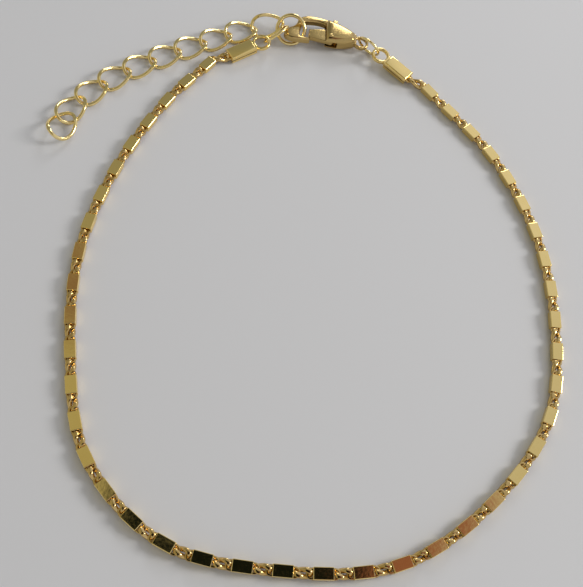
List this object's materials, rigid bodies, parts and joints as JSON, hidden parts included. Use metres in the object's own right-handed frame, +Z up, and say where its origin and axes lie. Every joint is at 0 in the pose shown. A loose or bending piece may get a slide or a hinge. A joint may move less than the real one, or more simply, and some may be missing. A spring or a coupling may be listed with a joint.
{
  "type": "chain anklet",
  "caption": "Fine gold-coloured bar-link chain anklet with a lobster clasp and a curb-link extender, lying fastened in a loop",
  "frame": {"origin": "middle of the bounding box in plan, on the surface that the anklet lies on", "axes": "+Z up from the surface, +Y from the loop's middle towards the clasp, +X towards the clasp's tail side"},
  "size_m": [0.082, 0.0908, 0.0042],
  "materials": {
    "gold": "polished gold plating over brass"
  },
  "bodies": {
    "anklet": {"chain_right": "gold", "chain_left": "gold", "end_tab_right": "gold", "end_tab_left": "gold", "clasp_ring": "gold", "tail_ring": "gold", "tab_ring": "gold", "clasp_body": "gold", "extender_link_01": "gold", "extender_link_02": "gold", "extender_link_03": "gold", "extender_link_04": "gold", "extender_link_05": "gold", "extender_link_06": "gold", "extender_link_07": "gold", "extender_link_08": "gold", "extender_link_09": "gold", "extender_link_10": "gold"},
    "lever": {"clasp_lever": "gold"}
  },
  "joints": [
    {"name": "lever_hinge", "type": "hinge", "parent": "anklet", "child": "lever", "pos_m": [-0.00202, 0.04101, 0.00148], "axis": [-0.0603, -0.0095, -0.9981], "range_deg": [0, 18], "stiffness_Nm_per_rad": 0.004, "springref_deg": -11.46}
  ]
}
